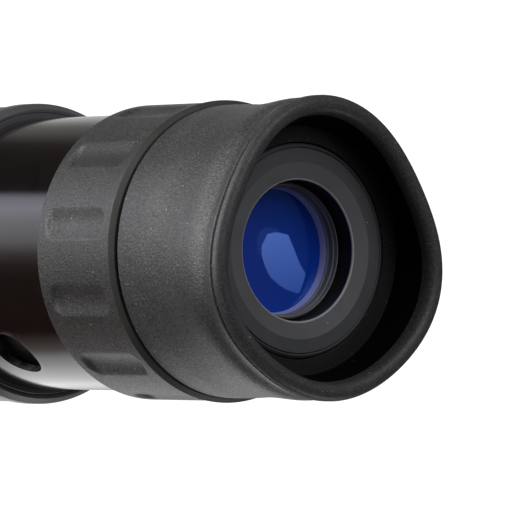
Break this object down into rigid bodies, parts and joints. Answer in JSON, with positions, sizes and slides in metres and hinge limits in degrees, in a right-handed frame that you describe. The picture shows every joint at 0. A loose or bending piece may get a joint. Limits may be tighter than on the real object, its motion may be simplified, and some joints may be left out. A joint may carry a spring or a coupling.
{
  "type": "telescope eyepiece",
  "caption": "Zoom eyepiece with a push-in nosepiece, a fluted turning ring that slides two lens groups through helical slots, and a turning winged rubber eyecup.",
  "frame": {"origin": "centre of the open end of the nosepiece, on the optical axis", "axes": "+Z along the optical axis towards the eye; -Y out through the round window in the tube"},
  "size_m": [0.0482, 0.0482, 0.1246],
  "materials": {
    "bright_nosepiece": "polished chrome plate",
    "gloss_black": "gloss black anodised",
    "black_matt": "matt black anodised",
    "ring_black": "satin black anodised",
    "bezel_black": "fine matt black",
    "dial_black": "matt black with engraved figures",
    "lens_ring_grey": "satin grey anodised",
    "steel": "bright steel",
    "pin_brass": "turned brass",
    "slip_plastic": "natural slippery plastic",
    "coated_glass": "blue anti-reflection coating",
    "plain_glass": "clear optical glass",
    "grip_rubber": "matt moulded rubber",
    "eyecup_rubber": "soft matt rubber"
  },
  "bodies": {
    "barrel": {"nosepiece": "bright_nosepiece", "nosepiece_baffle": "black_matt", "housing": "gloss_black", "outer_tube": "gloss_black", "guide_tube": "black_matt", "guide_tube_screws": "steel", "stop_pin": "steel", "lower_washer": "slip_plastic", "upper_washer": "slip_plastic", "drum_nut": "black_matt", "head": "black_matt", "bezel": "bezel_black", "eyecup_clip": "steel"},
    "zoom_ring": {"cam_drum": "black_matt", "dial_sleeve": "dial_black", "zoom_ring": "ring_black", "drive_screws": "steel", "rubber_grip": "grip_rubber"},
    "eye_group": {"eye_cell": "black_matt", "eye_lens": "coated_glass", "eye_lens_ring": "lens_ring_grey", "lens_spacer": "black_matt", "doublet_crown": "plain_glass", "doublet_flint": "plain_glass", "eye_cam_pins": "pin_brass", "eye_rollers": "slip_plastic"},
    "field_group": {"field_cell": "black_matt", "field_stop": "black_matt", "field_lens_front": "plain_glass", "field_lens_rear": "plain_glass", "field_ring": "black_matt", "field_cam_pins": "pin_brass", "field_rollers": "slip_plastic"},
    "eyecup": {"eyecup_ring": "ring_black", "eyecup": "eyecup_rubber"}
  },
  "joints": [
    {"name": "zoom_turn", "type": "hinge", "parent": "barrel", "child": "zoom_ring", "pos_m": [0, 0, 0.085], "axis": [0, 0, 1], "range_deg": [-55, 45]},
    {"name": "eye_slide", "type": "slide", "parent": "barrel", "child": "eye_group", "axis": [0, 0, 1], "range_m": [-0.00251, 0.00206]},
    {"name": "field_slide", "type": "slide", "parent": "barrel", "child": "field_group", "axis": [0, 0, 1], "range_m": [-0.00394, 0.00482]},
    {"name": "eyecup_turn", "type": "hinge", "parent": "barrel", "child": "eyecup", "pos_m": [0, 0, 0.106], "axis": [0, 0, 1], "continuous": true}
  ],
  "couplings": [
    {"joint": "eye_slide", "follows": "zoom_turn", "m_per_rad": 0.0026},
    {"joint": "field_slide", "follows": "zoom_turn", "m_per_rad": -0.005}
  ]
}
